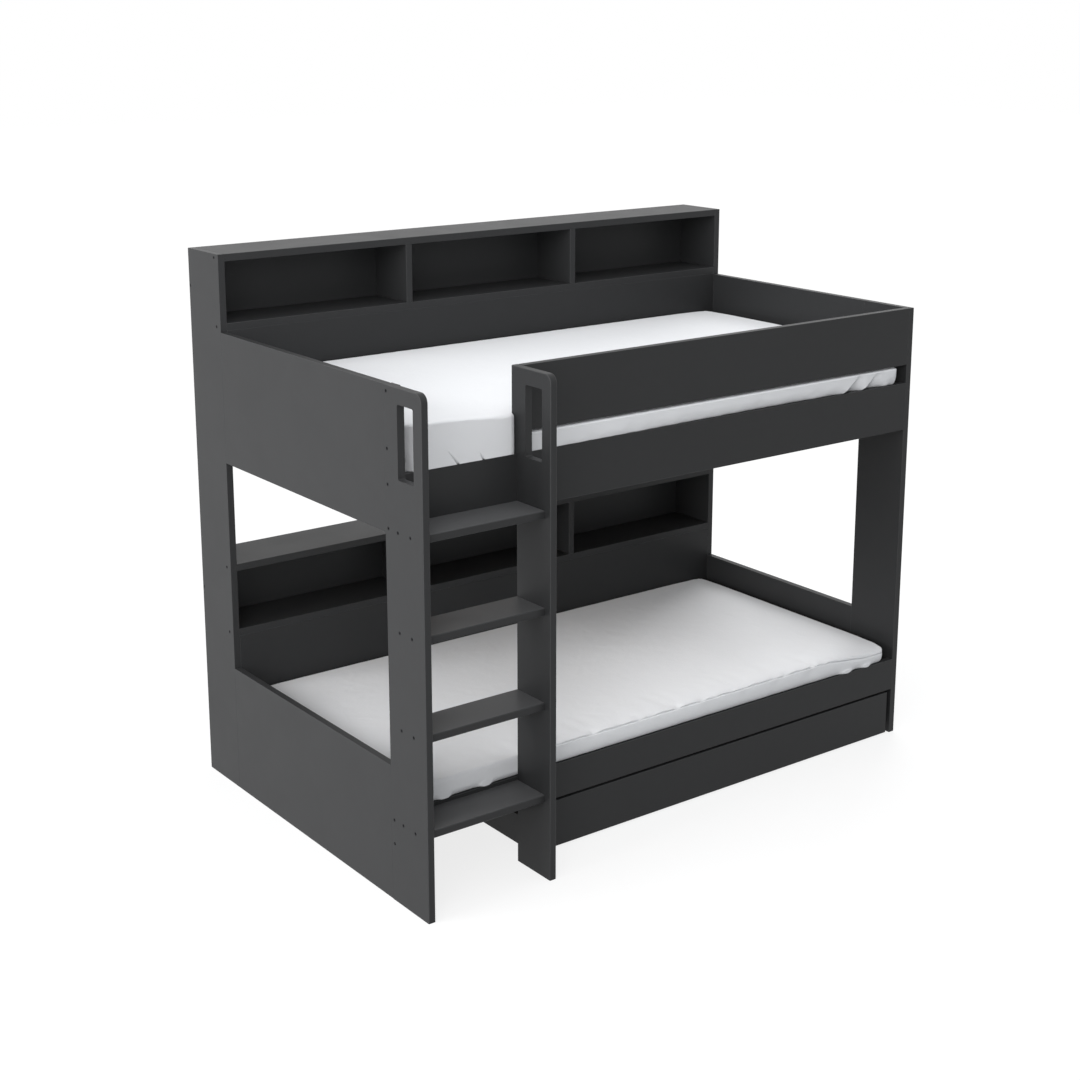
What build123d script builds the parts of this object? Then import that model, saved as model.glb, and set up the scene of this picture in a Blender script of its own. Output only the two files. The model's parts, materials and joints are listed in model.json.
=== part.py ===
from build123d import *
import os

os.makedirs("parts", exist_ok=True)

# Bunk bed of 22 mm boards: ladder with slotted posts at the front left, a shallow bookcase
# along the back, two slatted beds and an underbed drawer that rolls on four castors.
# Origin on the floor under the middle of the overall box, X along the bed, ladder towards -Y.

# Overall sizes
bed_length = 1980.0  # over the two end faces
bed_height = 1680.0  # floor to the top of the bookcase
frame_depth = 1118.0  # face of the front rails to the back of the bookcase
ladder_reach = 152.0  # how far the ladder posts stand in front of the rails
board = 22.0  # thickness of the load-bearing boards
edge_ease = 0.8  # bevel of the edge banding
overrun = 1.0  # how far cutters pass a face

# Ends and front rails
end_top = 1448.0  # floor to the top of the guard, the posts and the end panels
guard_height = 183.0
guard_gap = 60.0  # open slit between the guard and the rail below it
upper_rail_height = 155.0
drawer_bay_height = 156.0  # floor to the underside of the lower rail
lower_rail_height = 106.0
lower_end_height = 395.0
right_post_depth = 194.0
left_post_lap = 25.0  # how far the left ladder post runs back past the rail face

# Bookcase
shelf_depth = 194.0
upper_cubby_height = 184.0
lower_bookcase_height = 729.0
lower_cubby_height = 187.0
cubby_count = 3
back_panel = 12.0

# Ladder
ladder_width = 384.0  # clear width between the posts
step_count = 4
first_step_top = 251.0
step_pitch = 274.0
step_depth = 127.0
step_round = 3.0
post_corner_radius = 26.0
post_edge_round = 3.0
slot_width = 74.0
slot_height = 200.0
slot_front_margin = 38.0
slot_top_margin = 44.0
slot_corner_radius = 5.0

# Slatted bases
batten_width = 22.0
upper_batten_height = 30.0
lower_batten_height = 14.0
slat_count = 13
slat_width = 70.0
slat_thickness = 15.0
slat_end_gap = 2.0
upper_slat_drop = 10.0  # top of the upper slats below the top of their rail
strap_width = 25.0
strap_thickness = 1.2
strap_inset = 150.0  # from the ends of the slats

# Mattresses
mattress_gap = 2.0  # to the left end and to the front rail
mattress_foot_gap = 36.0  # to the right end
mattress_back_gap = 4.0  # to the board behind
mattress_thickness = 126.0  # at the edge
mattress_crown = 7.0  # rise of the middle above the edge
mattress_corner = 60.0
mattress_edge = 16.0
mattress_waist = 4.0  # how far the sides draw in at mid height
crown_rim = 90.0  # width of the sloping rim round the crown
crown_field = 230.0  # distance from the edge to the flat middle
crown_rim_share = 0.6  # part of the crown that the rim takes
soft_clearance = 0.3  # between a mattress and its slats

# Batten that joins the left ladder post to the end panel
joining_thickness = 16.0
joining_width = 40.0
joining_height = 176.0
joining_drop = 5.0  # below the top of the post
joining_screw_inset = 12.0

# Screws and dowels, eight-sided to keep the model light, measured across their flats
fastener_sides = 8
head_diameter = 9.0
head_height = 3.0
head_recess = 0.3
shank_diameter = 5.0
screw_length = 48.0
short_screw_length = 34.0
hole_clearance = 0.2  # round a screw or a dowel
shelf_screw_setback = 24.0
rail_screw_low = 14.0
rail_screw_high = 22.0
step_screw_inset = 34.0
dowel_diameter = 8.0
dowel_length = 36.0
dowel_inset = 60.0  # from the ends of a seam
guard_dowel_inset = 45.0  # from the edges of the guard
dowel_end_gap = 1.0

# Drawer
drawer_end_gap = 18.0  # to the ladder post and to the right post
drawer_top_gap = 8.0
drawer_floor_gap = 5.0
drawer_depth = 850.0  # over the front and the box
drawer_front = 18.0
drawer_wall = 15.0
drawer_wall_height = 92.0
drawer_wall_bottom = 20.0
drawer_base = 8.0
cleat_width = 15.0
bearer_width = 40.0
block_size = 20.0
block_height = 36.0
block_lift = 4.0
drawer_screw_inset = 20.0

# Castors
wheel_diameter = 30.0
wheel_width = 13.0
wheel_shoulder = 2.0
axle_diameter = 4.0
axle_clearance = 0.08
wheel_headroom = 1.5  # between the tread and the plate, and round the tread
cheek_thickness = 2.5
cheek_radius = 8.0  # round the axle
cheek_gap = 0.8  # between wheel and cheek
hood_length = 40.0
plate_thickness = 2.5
plate_length = 52.0
plate_side = 8.0  # plate beyond each cheek
castor_inset_x = 75.0
castor_inset_y = 70.0

# Places worked out from the sizes
left_face = -bed_length / 2
right_face = bed_length / 2
left_inner = left_face + board
right_inner = right_face - board
ladder_face = -(frame_depth + ladder_reach) / 2
rail_face = ladder_face + ladder_reach
rail_back = rail_face + board
back_face = rail_face + frame_depth
shelf_face = back_face - shelf_depth
left_post_back = rail_face + left_post_lap
right_post_back = rail_face + right_post_depth

guard_bottom = end_top - guard_height
upper_rail_top = guard_bottom - guard_gap
upper_rail_bottom = upper_rail_top - upper_rail_height
lower_rail_top = drawer_bay_height + lower_rail_height

upper_floor_top = bed_height - board - upper_cubby_height
lower_floor_top = lower_bookcase_height - board - lower_cubby_height
clear_length = right_inner - left_inner
clear_width = shelf_face - rail_back
cubby_width = (clear_length - (cubby_count - 1) * board) / cubby_count

ladder_right = left_inner + ladder_width
right_ladder_face = ladder_right + board

upper_slat_top = upper_rail_top - upper_slat_drop
lower_slat_top = drawer_bay_height + lower_batten_height + slat_thickness

drawer_left = right_ladder_face + drawer_end_gap
drawer_right = right_inner - drawer_end_gap
drawer_box_front = rail_face + drawer_front
drawer_back_face = rail_face + drawer_depth
wall_left = drawer_left + drawer_wall
wall_right = drawer_right - drawer_wall
drawer_back_front = drawer_back_face - drawer_wall
castor_height = wheel_diameter + wheel_headroom + plate_thickness
base_top = castor_height + drawer_base

LEFT = (-1, 0, 0)
RIGHT = (1, 0, 0)
FRONT = (0, -1, 0)
BACK = (0, 1, 0)


def save(block, label):
    """Names a finished piece and writes its file."""
    block.part.label = label
    export_step(block.part, f"parts/{label}.step")


def along(place, outward, distance):
    """The point that lies a distance inside a face, against its outward direction."""
    return tuple(p - distance * d for p, d in zip(place, outward))


def seats(places, outward):
    """Planes on a face, one at each place, that look outward."""
    return [Plane(origin=place, z_dir=outward) for place in places]


def prisms(planes, diameter, depth, mode=Mode.ADD):
    """Many-sided prisms that run inwards from each plane, in the part that is being built."""
    with BuildSketch(*planes) as outlines:
        RegularPolygon(diameter / 2, fastener_sides, major_radius=False)
    extrude(outlines.sketch, amount=-depth, mode=mode)


def drill_screw_holes(places, outward, cover=board):
    """Holes with a seat for the head, through the board that the screws hold."""
    planes = seats(places, outward)
    prisms(planes, shank_diameter + 2 * hole_clearance, cover, Mode.SUBTRACT)
    prisms(planes, head_diameter + 2 * hole_clearance, head_height + head_recess, Mode.SUBTRACT)


def drill_pilots(places, outward, cover=board, length=screw_length):
    """Blind holes for the screws' shanks, in the board behind a cover board."""
    planes = seats([along(place, outward, cover) for place in places], outward)
    depth = length + head_recess + overrun - cover
    prisms(planes, shank_diameter + 2 * hole_clearance, depth, Mode.SUBTRACT)


def drill_dowel_holes(places, outward):
    """Blind holes for half of each dowel."""
    depth = dowel_length / 2 + dowel_end_gap
    prisms(seats(places, outward), dowel_diameter + 2 * hole_clearance, depth, Mode.SUBTRACT)


def block(x_span, y_span, z_span):
    """Extrudes a rectangle between two levels, inside the part that is being built."""
    with BuildSketch(Plane.XY.offset(z_span[0])) as outline:
        with Locations(((x_span[0] + x_span[1]) / 2, (y_span[0] + y_span[1]) / 2)):
            Rectangle(x_span[1] - x_span[0], y_span[1] - y_span[0])
    extrude(outline.sketch, amount=z_span[1] - z_span[0])


def drill_all(drilled, pilots, dowels):
    """All holes of the board that is being built, each set given as (places, outward, ...)."""
    for hole in drilled:
        drill_screw_holes(*hole)
    for pilot in pilots:
        drill_pilots(*pilot)
    for dowel in dowels:
        drill_dowel_holes(*dowel)


def make_board(label, x_span, y_span, z_span, drilled=(), pilots=(), dowels=()):
    """A plain board with eased edges and its holes."""
    with BuildPart() as piece:
        block(x_span, y_span, z_span)
        chamfer(piece.edges(), edge_ease)
        drill_all(drilled, pilots, dowels)
    save(piece, label)


def make_screws(label, sets, length=screw_length):
    """One node of identical screws, each set given as (places, outward)."""
    with BuildPart() as screws:
        for places, outward in sets:
            planes = seats([along(place, outward, head_recess) for place in places], outward)
            prisms(planes, head_diameter, head_height)
            prisms(planes, shank_diameter, length)
    save(screws, label)


def rail_levels(bottom, top):
    """Heights of the two screws in the end of a rail."""
    return (bottom + rail_screw_low, top - rail_screw_high)


# Screw places on the bookcase sides, the posts and the ladder
rail_ends = {
    "upper": rail_levels(upper_rail_bottom, upper_rail_top),
    "lower": rail_levels(drawer_bay_height, lower_rail_top),
    "guard": rail_levels(guard_bottom, end_top),
}
rail_axis = rail_face + board / 2
shelf_screw_y = shelf_face + shelf_screw_setback
shelf_levels = {
    "top_board": bed_height - board / 2,
    "upper_cubby_floor": upper_floor_top - board / 2,
    "lower_bookcase_top": lower_bookcase_height - board / 2,
    "lower_cubby_floor": lower_floor_top - board / 2,
}
back_panel_y = back_face - back_panel / 2
back_panel_levels = {
    "upper_cubby_back": upper_floor_top + upper_cubby_height / 2,
    "lower_cubby_back": lower_floor_top + lower_cubby_height / 2,
}
joining_top = end_top - joining_drop
joining_bottom = joining_top - joining_height
joining_levels = (joining_bottom + joining_screw_inset, joining_top - joining_screw_inset)
step_tops = [first_step_top + i * step_pitch for i in range(step_count)]
step_screw_rows = (rail_face - step_screw_inset, rail_face - step_depth + step_screw_inset)


def shelf_screws(face):
    """Screws through a bookcase side into the ends of the shelves and back panels."""
    shelves = [(face, shelf_screw_y, level) for level in shelf_levels.values()]
    backs = [(face, back_panel_y, level) for level in back_panel_levels.values()]
    return shelves + backs


def step_screws(face, top):
    """Two screws through a ladder post into the end of one step."""
    return [(face, y, top - board / 2) for y in step_screw_rows]


def rail_screws(face, rail):
    """Two screws through an end face into the end of one rail."""
    return [(face, rail_axis, level) for level in rail_ends[rail]]


def seam_dowels(x, y, bottom, top):
    """Two dowels across an upright seam between two boards that stand in line."""
    return [(x, y, bottom + dowel_inset), (x, y, top - dowel_inset)]


end_axis = {"left": left_face + board / 2, "right": right_face - board / 2}
panel_front = {"left": left_post_back, "right": right_post_back}
panel_levels = {"upper": (upper_rail_bottom, end_top), "lower": (0, lower_end_height)}
front_seams = {
    (side, level): seam_dowels(end_axis[side], panel_front[side], *panel_levels[level])
    for side in end_axis
    for level in panel_levels
}
back_seams = {
    (side, level): seam_dowels(end_axis[side], shelf_face, *panel_levels[level])
    for side in end_axis
    for level in panel_levels
}

# Bookcase sides, full height at both ends of the back
for side, x_span, face, outward in (
    ("left", (left_face, left_inner), left_face, LEFT),
    ("right", (right_inner, right_face), right_face, RIGHT),
):
    make_board(
        f"bookcase_side_{side}",
        x_span,
        (shelf_face, back_face),
        (0, bed_height),
        drilled=[(shelf_screws(face), outward)],
        dowels=[(back_seams[side, level], FRONT) for level in panel_levels],
    )

# Four long boards of the bookcase: two roofs and two cubby floors
for label, level in shelf_levels.items():
    make_board(
        label,
        (left_inner, right_inner),
        (shelf_face, back_face),
        (level - board / 2, level + board / 2),
        pilots=[
            ([(left_face, shelf_screw_y, level)], LEFT),
            ([(right_face, shelf_screw_y, level)], RIGHT),
        ],
    )

# Thin panels that close the backs of the cubbies
back_panel_spans = {
    "upper_cubby_back": (upper_floor_top, upper_floor_top + upper_cubby_height),
    "lower_cubby_back": (lower_floor_top, lower_floor_top + lower_cubby_height),
}
for label, span in back_panel_spans.items():
    level = back_panel_levels[label]
    make_board(
        label,
        (left_inner, right_inner),
        (back_face - back_panel, back_face),
        span,
        pilots=[
            ([(left_face, back_panel_y, level)], LEFT),
            ([(right_face, back_panel_y, level)], RIGHT),
        ],
    )

# Dividers, evenly spaced between the sides
for row in ("upper", "lower"):
    for number, place in enumerate(("left", "right")):
        start = left_inner + (number + 1) * cubby_width + number * board
        make_board(
            f"{row}_divider_{place}",
            (start, start + board),
            (shelf_face, back_face - back_panel),
            back_panel_spans[f"{row}_cubby_back"],
        )

# Boards behind the mattresses, flush with the front of the bookcase
for label, span in (
    ("upper_back_board", (upper_rail_bottom, upper_floor_top - board)),
    ("lower_back_board", (drawer_bay_height, lower_floor_top - board)),
):
    make_board(label, (left_inner, right_inner), (shelf_face, shelf_face + board), span)

# End panels, between the posts and the bookcase sides
for side in end_axis:
    for level in panel_levels:
        make_board(
            f"{side}_end_panel_{level}",
            (end_axis[side] - board / 2, end_axis[side] + board / 2),
            (panel_front[side], shelf_face),
            panel_levels[level],
            dowels=[(front_seams[side, level], FRONT), (back_seams[side, level], BACK)],
        )

# Right front post
make_board(
    "right_front_post",
    (right_inner, right_face),
    (rail_face, right_post_back),
    (0, end_top),
    drilled=[(rail_screws(right_face, rail), RIGHT) for rail in rail_ends],
    dowels=[(front_seams["right", level], BACK) for level in panel_levels],
)


def make_ladder_post(label, inner, outer, back, drilled, pilots, dowels, heel=None):
    """A ladder post with a round shoulder and a hand slot, its front edges rounded.

    A heel, given as (how far back, from what height), stands on the upper rail.
    """
    depth = back - ladder_face
    middle = (ladder_face + back) / 2
    slot_middle = ladder_face + slot_front_margin + slot_width / 2
    slot_level = end_top - slot_top_margin - slot_height / 2
    with BuildPart() as post:
        with BuildSketch(Plane.YZ.offset(min(inner, outer))) as outline:
            with Locations((middle, end_top / 2)):
                Rectangle(depth, end_top)
            if heel:
                heel_back, heel_bottom = heel
                with Locations(((back + heel_back) / 2, (heel_bottom + end_top) / 2)):
                    Rectangle(heel_back - back, end_top - heel_bottom)
            shoulder = outline.vertices().group_by(Axis.Y)[-1].sort_by(Axis.X)[0]
            fillet(shoulder, post_corner_radius)
        extrude(amount=board)
        rims = post.edges().filter_by(Axis.X, reverse=True)
        rims = rims.filter_by_position(Axis.Y, ladder_face, back - post_edge_round)
        rims = rims.filter_by_position(Axis.Z, post_edge_round, end_top)
        fillet(rims, post_edge_round)
        with BuildSketch(Plane.YZ.offset(min(inner, outer))):
            with Locations((slot_middle, slot_level)):
                RectangleRounded(slot_width, slot_height, slot_corner_radius)
        extrude(amount=board, mode=Mode.SUBTRACT)
        drill_all(drilled, pilots, dowels)
    save(post, label)


# Ladder posts
left_post_screws = [place for top in step_tops for place in step_screws(left_face, top)]
left_post_screws += rail_screws(left_face, "upper") + rail_screws(left_face, "lower")
joining_screws = [(left_face, rail_axis, level) for level in joining_levels]
make_ladder_post(
    "ladder_post_left",
    left_inner,
    left_face,
    left_post_back,
    drilled=[(left_post_screws, LEFT), (joining_screws, LEFT)],
    pilots=[],
    dowels=[(front_seams["left", level], BACK) for level in panel_levels],
)
right_post_screws = [place for top in step_tops for place in step_screws(right_ladder_face, top)]
rail_to_post = {
    rail: [(ladder_right + board / 2, rail_back, level) for level in rail_ends[rail]]
    for rail in ("upper", "lower")
}
guard_dowel_levels = (guard_bottom + guard_dowel_inset, end_top - guard_dowel_inset)
guard_dowels = [(right_ladder_face, rail_axis, level) for level in guard_dowel_levels]
make_ladder_post(
    "ladder_post_right",
    ladder_right,
    right_ladder_face,
    rail_face,
    drilled=[(right_post_screws, RIGHT)],
    pilots=[(places, BACK) for places in rail_to_post.values()],
    dowels=[(guard_dowels, RIGHT)],
    heel=(rail_back, upper_rail_top),
)

# Ladder steps
for number, top in enumerate(step_tops, start=1):
    with BuildPart() as step:
        block((left_inner, ladder_right), (rail_face - step_depth, rail_face), (top - board, top))
        front = step.edges().filter_by(Axis.X).group_by(Axis.Y)[0]
        fillet(front, step_round)
        drill_pilots(step_screws(left_face, top), LEFT)
        drill_pilots(step_screws(right_ladder_face, top), RIGHT)
    save(step, f"ladder_step_{number}")

# Front rails, and the guard between the heel of the ladder post and the right post
for rail, span in (
    ("upper", (upper_rail_bottom, upper_rail_top)),
    ("lower", (drawer_bay_height, lower_rail_top)),
):
    make_board(
        f"{rail}_front_rail",
        (left_inner, right_inner),
        (rail_face, rail_back),
        span,
        drilled=[(rail_to_post[rail], BACK)],
        pilots=[(rail_screws(right_face, rail), RIGHT), (rail_screws(left_face, rail), LEFT)],
    )
make_board(
    "guard_rail",
    (right_ladder_face, right_inner),
    (rail_face, rail_back),
    (guard_bottom, end_top),
    pilots=[(rail_screws(right_face, "guard"), RIGHT)],
    dowels=[(guard_dowels, LEFT)],
)

# Batten inside the left end that holds post and panel in line
make_board(
    "left_joining_batten",
    (left_inner, left_inner + joining_thickness),
    (rail_face, rail_face + joining_width),
    (joining_bottom, joining_top),
    pilots=[(joining_screws, LEFT, board, short_screw_length)],
)

# Screws that show on the end faces and on the ladder, and those behind the right ladder post
make_screws("left_end_screws", [(shelf_screws(left_face) + left_post_screws, LEFT)])
make_screws(
    "right_end_screws",
    [(shelf_screws(right_face), RIGHT)] + [(rail_screws(right_face, r), RIGHT) for r in rail_ends],
)
make_screws("step_screws", [(right_post_screws, RIGHT)])
make_screws("rail_screws", [(places, BACK) for places in rail_to_post.values()])
make_screws("joining_screws", [(joining_screws, LEFT)], short_screw_length)

# Dowels across the seams of the two ends, and between the right ladder post and the guard
with BuildPart() as dowels:
    joints = [(places, BACK) for places in (*front_seams.values(), *back_seams.values())]
    for places, outward in (*joints, (guard_dowels, RIGHT)):
        starts = [along(place, outward, -dowel_length / 2) for place in places]
        prisms(seats(starts, outward), dowel_diameter, dowel_length)
save(dowels, "end_panel_dowels")

# Slatted bases: battens on the rails and the back boards, slats across them, straps below
slat_length = clear_width - 2 * slat_end_gap
slat_middle = (shelf_face + rail_back) / 2
slat_pitch = (clear_length - slat_width - 2 * slat_end_gap) / (slat_count - 1)
for bed, slat_top, batten_height in (
    ("upper", upper_slat_top, upper_batten_height),
    ("lower", lower_slat_top, lower_batten_height),
):
    slat_bottom = slat_top - slat_thickness
    batten_span = (slat_bottom - batten_height, slat_bottom)
    for place, y_span in (
        ("front", (rail_back, rail_back + batten_width)),
        ("back", (shelf_face - batten_width, shelf_face)),
    ):
        make_board(f"{bed}_batten_{place}", (left_inner, right_inner), y_span, batten_span)

    with BuildPart() as slats:
        with BuildSketch(Plane.XY.offset(slat_bottom)):
            with Locations((0, slat_middle)):
                with GridLocations(slat_pitch, 0, slat_count, 1):
                    Rectangle(slat_width, slat_length)
        extrude(amount=slat_thickness)
    save(slats, f"{bed}_slats")

    with BuildPart() as straps:
        with BuildSketch(Plane.XY.offset(slat_bottom - strap_thickness)):
            with Locations((0, slat_middle)):
                with GridLocations(0, slat_length - 2 * strap_inset, 1, 2):
                    Rectangle(clear_length - 2 * slat_end_gap, strap_width)
        extrude(amount=strap_thickness)
    save(straps, f"{bed}_slat_straps")

# Mattresses: rounded in plan, sides drawn in at mid height, a crowned top
mattress_length = clear_length - mattress_gap - mattress_foot_gap
mattress_width = clear_width - mattress_gap - mattress_back_gap
mattress_x = left_inner + mattress_gap + mattress_length / 2
mattress_y = rail_back + mattress_gap + mattress_width / 2
mattress_levels = (
    (0, mattress_edge),
    (mattress_edge, 0),
    (mattress_thickness / 2, mattress_waist),
    (mattress_thickness - mattress_edge, 0),
    (mattress_thickness, mattress_edge),
    (mattress_thickness + crown_rim_share * mattress_crown, crown_rim),
    (mattress_thickness + mattress_crown, crown_field),
)
for bed, slat_top in (("upper", upper_slat_top), ("lower", lower_slat_top)):
    with BuildPart() as mattress:
        for height, inset in mattress_levels:
            with BuildSketch(Plane.XY.offset(slat_top + soft_clearance + height)):
                with Locations((mattress_x, mattress_y)):
                    RectangleRounded(
                        mattress_length - 2 * inset,
                        mattress_width - 2 * inset,
                        mattress_corner,
                    )
        loft(ruled=True)
    save(mattress, f"{bed}_mattress")

# Drawer box
wall_span = (drawer_wall_bottom, drawer_wall_bottom + drawer_wall_height)
drawer_back_y = drawer_back_face - drawer_wall / 2
drawer_screw_levels = (wall_span[0] + drawer_screw_inset, wall_span[1] - drawer_screw_inset)
drawer_screws = {
    "left": ([(drawer_left, drawer_back_y, z) for z in drawer_screw_levels], LEFT),
    "right": ([(drawer_right, drawer_back_y, z) for z in drawer_screw_levels], RIGHT),
}
make_board(
    "drawer_front",
    (drawer_left, drawer_right),
    (rail_face, drawer_box_front),
    (drawer_floor_gap, drawer_bay_height - drawer_top_gap),
)
for side, x_span in (
    ("left", (drawer_left, wall_left)),
    ("right", (wall_right, drawer_right)),
):
    make_board(
        f"drawer_side_{side}",
        x_span,
        (drawer_box_front, drawer_back_face),
        wall_span,
        drilled=[(*drawer_screws[side], drawer_wall)],
    )
make_board(
    "drawer_back",
    (wall_left, wall_right),
    (drawer_back_front, drawer_back_face),
    wall_span,
    pilots=[(places, outward, drawer_wall) for places, outward in drawer_screws.values()],
)
make_screws("drawer_screws", drawer_screws.values())
make_board(
    "drawer_base",
    (wall_left, wall_right),
    (drawer_box_front, drawer_back_front),
    (castor_height, base_top),
)

# Cleats along the walls and a bearer in the middle, under the base
with BuildPart() as cleats:
    for x_span in ((wall_left, wall_left + cleat_width), (wall_right - cleat_width, wall_right)):
        block(x_span, (drawer_box_front, drawer_back_front), (drawer_wall_bottom, castor_height))
save(cleats, "drawer_base_cleats")
drawer_middle = (drawer_left + drawer_right) / 2
make_board(
    "drawer_centre_bearer",
    (drawer_middle - bearer_width / 2, drawer_middle + bearer_width / 2),
    (drawer_box_front, drawer_back_front),
    (drawer_wall_bottom, castor_height),
)

# Corner blocks that join the drawer front to the walls
with BuildPart() as corner_blocks:
    y_span = (drawer_box_front, drawer_box_front + block_size)
    z_span = (base_top + block_lift, base_top + block_lift + block_height)
    block((wall_left, wall_left + block_size), y_span, z_span)
    block((wall_right - block_size, wall_right), y_span, z_span)
    inner_edges = corner_blocks.edges().filter_by(Axis.Z).group_by(Axis.Y)[-1].sort_by(Axis.X)[1:3]
    chamfer(inner_edges, block_size / 2)
save(corner_blocks, "drawer_corner_blocks")

# Castors: a moulded hood under a flat plate, and a wheel on an axle between its cheeks
axle_level = wheel_diameter / 2
pocket_width = wheel_width + 2 * cheek_gap
hood_width = pocket_width + 2 * cheek_thickness
hood_top = castor_height - plate_thickness
castor_xs = (wall_left + castor_inset_x, wall_right - castor_inset_x)
castor_ys = {
    "front": drawer_box_front + castor_inset_y,
    "rear": drawer_back_front - castor_inset_y,
}
castor_places = {row: [(x, y, 0) for x in castor_xs] for row, y in castor_ys.items()}
all_castors = castor_places["front"] + castor_places["rear"]

with BuildPart() as hood:
    with BuildSketch(Plane.YZ.offset(-hood_width / 2)):
        with Locations((0, axle_level)):
            Circle(cheek_radius)
        with Locations((0, hood_top - plate_thickness / 2)):
            Rectangle(hood_length, plate_thickness)
        make_hull()
    extrude(amount=hood_width)
    with BuildSketch(Plane.XY.offset(hood_top)):
        Rectangle(hood_width + 2 * plate_side, plate_length)
    extrude(amount=plate_thickness)
    with BuildSketch(Plane.YZ.offset(-pocket_width / 2)):
        with Locations((0, axle_level)):
            Circle(wheel_diameter / 2 + wheel_headroom)
    extrude(amount=pocket_width, mode=Mode.SUBTRACT)
with BuildPart() as hoods:
    with Locations(*all_castors):
        add(hood.part)
save(hoods, "castor_hoods")

with BuildPart() as axles:
    with BuildSketch(*[Plane.YZ.offset(x - pocket_width / 2) for x in castor_xs]):
        with Locations(*[(y, axle_level) for y in castor_ys.values()]):
            Circle(axle_diameter / 2)
    extrude(amount=pocket_width)
save(axles, "castor_axles")

with BuildPart() as wheel:
    bore = axle_diameter / 2 + axle_clearance
    with BuildSketch(Plane.XZ) as profile:
        with Locations((0, axle_level + (wheel_diameter / 2 + bore) / 2)):
            Rectangle(wheel_width, wheel_diameter / 2 - bore)
        chamfer(profile.vertices().group_by(Axis.Y)[-1], wheel_shoulder)
    revolve(axis=Axis((0, 0, axle_level), RIGHT))
for row, places in castor_places.items():
    with BuildPart() as wheels:
        with Locations(*places):
            add(wheel.part)
    save(wheels, f"castor_wheels_{row}")
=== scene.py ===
"""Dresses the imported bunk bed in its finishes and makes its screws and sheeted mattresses."""

import json
import logging
import math
from dataclasses import dataclass
from enum import Enum
from typing import Any, Iterable, Optional, Sequence, Union

import bmesh
import bpy
from mathutils import Matrix, Vector, noise


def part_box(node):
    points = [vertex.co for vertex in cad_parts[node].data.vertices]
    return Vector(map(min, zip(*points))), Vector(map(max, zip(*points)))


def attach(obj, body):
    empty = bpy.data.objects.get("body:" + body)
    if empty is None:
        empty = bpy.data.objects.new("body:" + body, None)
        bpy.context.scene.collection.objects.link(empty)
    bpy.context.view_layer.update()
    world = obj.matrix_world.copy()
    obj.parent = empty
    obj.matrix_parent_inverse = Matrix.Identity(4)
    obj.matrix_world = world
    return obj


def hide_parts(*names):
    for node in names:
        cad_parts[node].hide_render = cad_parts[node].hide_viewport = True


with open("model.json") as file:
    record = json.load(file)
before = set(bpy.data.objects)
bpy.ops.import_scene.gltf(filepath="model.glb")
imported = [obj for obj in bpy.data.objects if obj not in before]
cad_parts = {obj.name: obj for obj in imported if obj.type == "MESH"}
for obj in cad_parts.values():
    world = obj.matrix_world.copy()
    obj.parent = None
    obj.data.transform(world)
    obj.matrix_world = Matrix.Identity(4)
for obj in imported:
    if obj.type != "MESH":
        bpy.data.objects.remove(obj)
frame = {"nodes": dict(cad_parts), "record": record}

logging.basicConfig(level=logging.INFO, format="%(message)s")
log = logging.getLogger("bunk_bed")

MM = 0.001
Colour = tuple[float, float, float]
Span = tuple[float, float]


class Side(Enum):
    """An axis of the bed."""

    X = 0
    Y = 1
    Z = 2


# Shader building


class Signal:
    """A socket that gives a number, so that shader maths reads as a sum."""

    def __init__(self, graph: "Graph", socket: bpy.types.NodeSocket) -> None:
        """Keeps the output that gives the number, and the graph for its maths nodes."""
        self.graph = graph
        self.socket = socket

    def __add__(self, other: "Number") -> "Signal":
        """This plus other."""
        return self.graph.maths("ADD", self, other)

    __radd__ = __add__

    def __sub__(self, other: "Number") -> "Signal":
        """This less other."""
        return self.graph.maths("SUBTRACT", self, other)

    def __rsub__(self, other: "Number") -> "Signal":
        """Other less this."""
        return self.graph.maths("SUBTRACT", other, self)

    def __mul__(self, other: "Number") -> "Signal":
        """This times other."""
        return self.graph.maths("MULTIPLY", self, other)

    __rmul__ = __mul__

    def __truediv__(self, other: "Number") -> "Signal":
        """This over other."""
        return self.graph.maths("DIVIDE", self, other)

    def __pow__(self, other: "Number") -> "Signal":
        """This to the power of other."""
        return self.graph.maths("POWER", self, other)

    def __abs__(self) -> "Signal":
        """This without its sign."""
        return self.graph.maths("ABSOLUTE", self)

    def wave(self) -> "Signal":
        """The sine of this."""
        return self.graph.maths("SINE", self)

    def step(self, low: float, high: float) -> "Signal":
        """Runs smoothly from 0 at low to 1 at high.

        Args:
            low: where the ramp starts.
            high: where the ramp ends.

        Returns:
            The smooth step.
        """
        settings = {"interpolation_type": "SMOOTHSTEP"}
        made = self.graph.node("ShaderNodeMapRange", settings, {0: self, 1: low, 2: high})
        return Signal(self.graph, made.outputs[0])


Number = Union[Signal, float]


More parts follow.
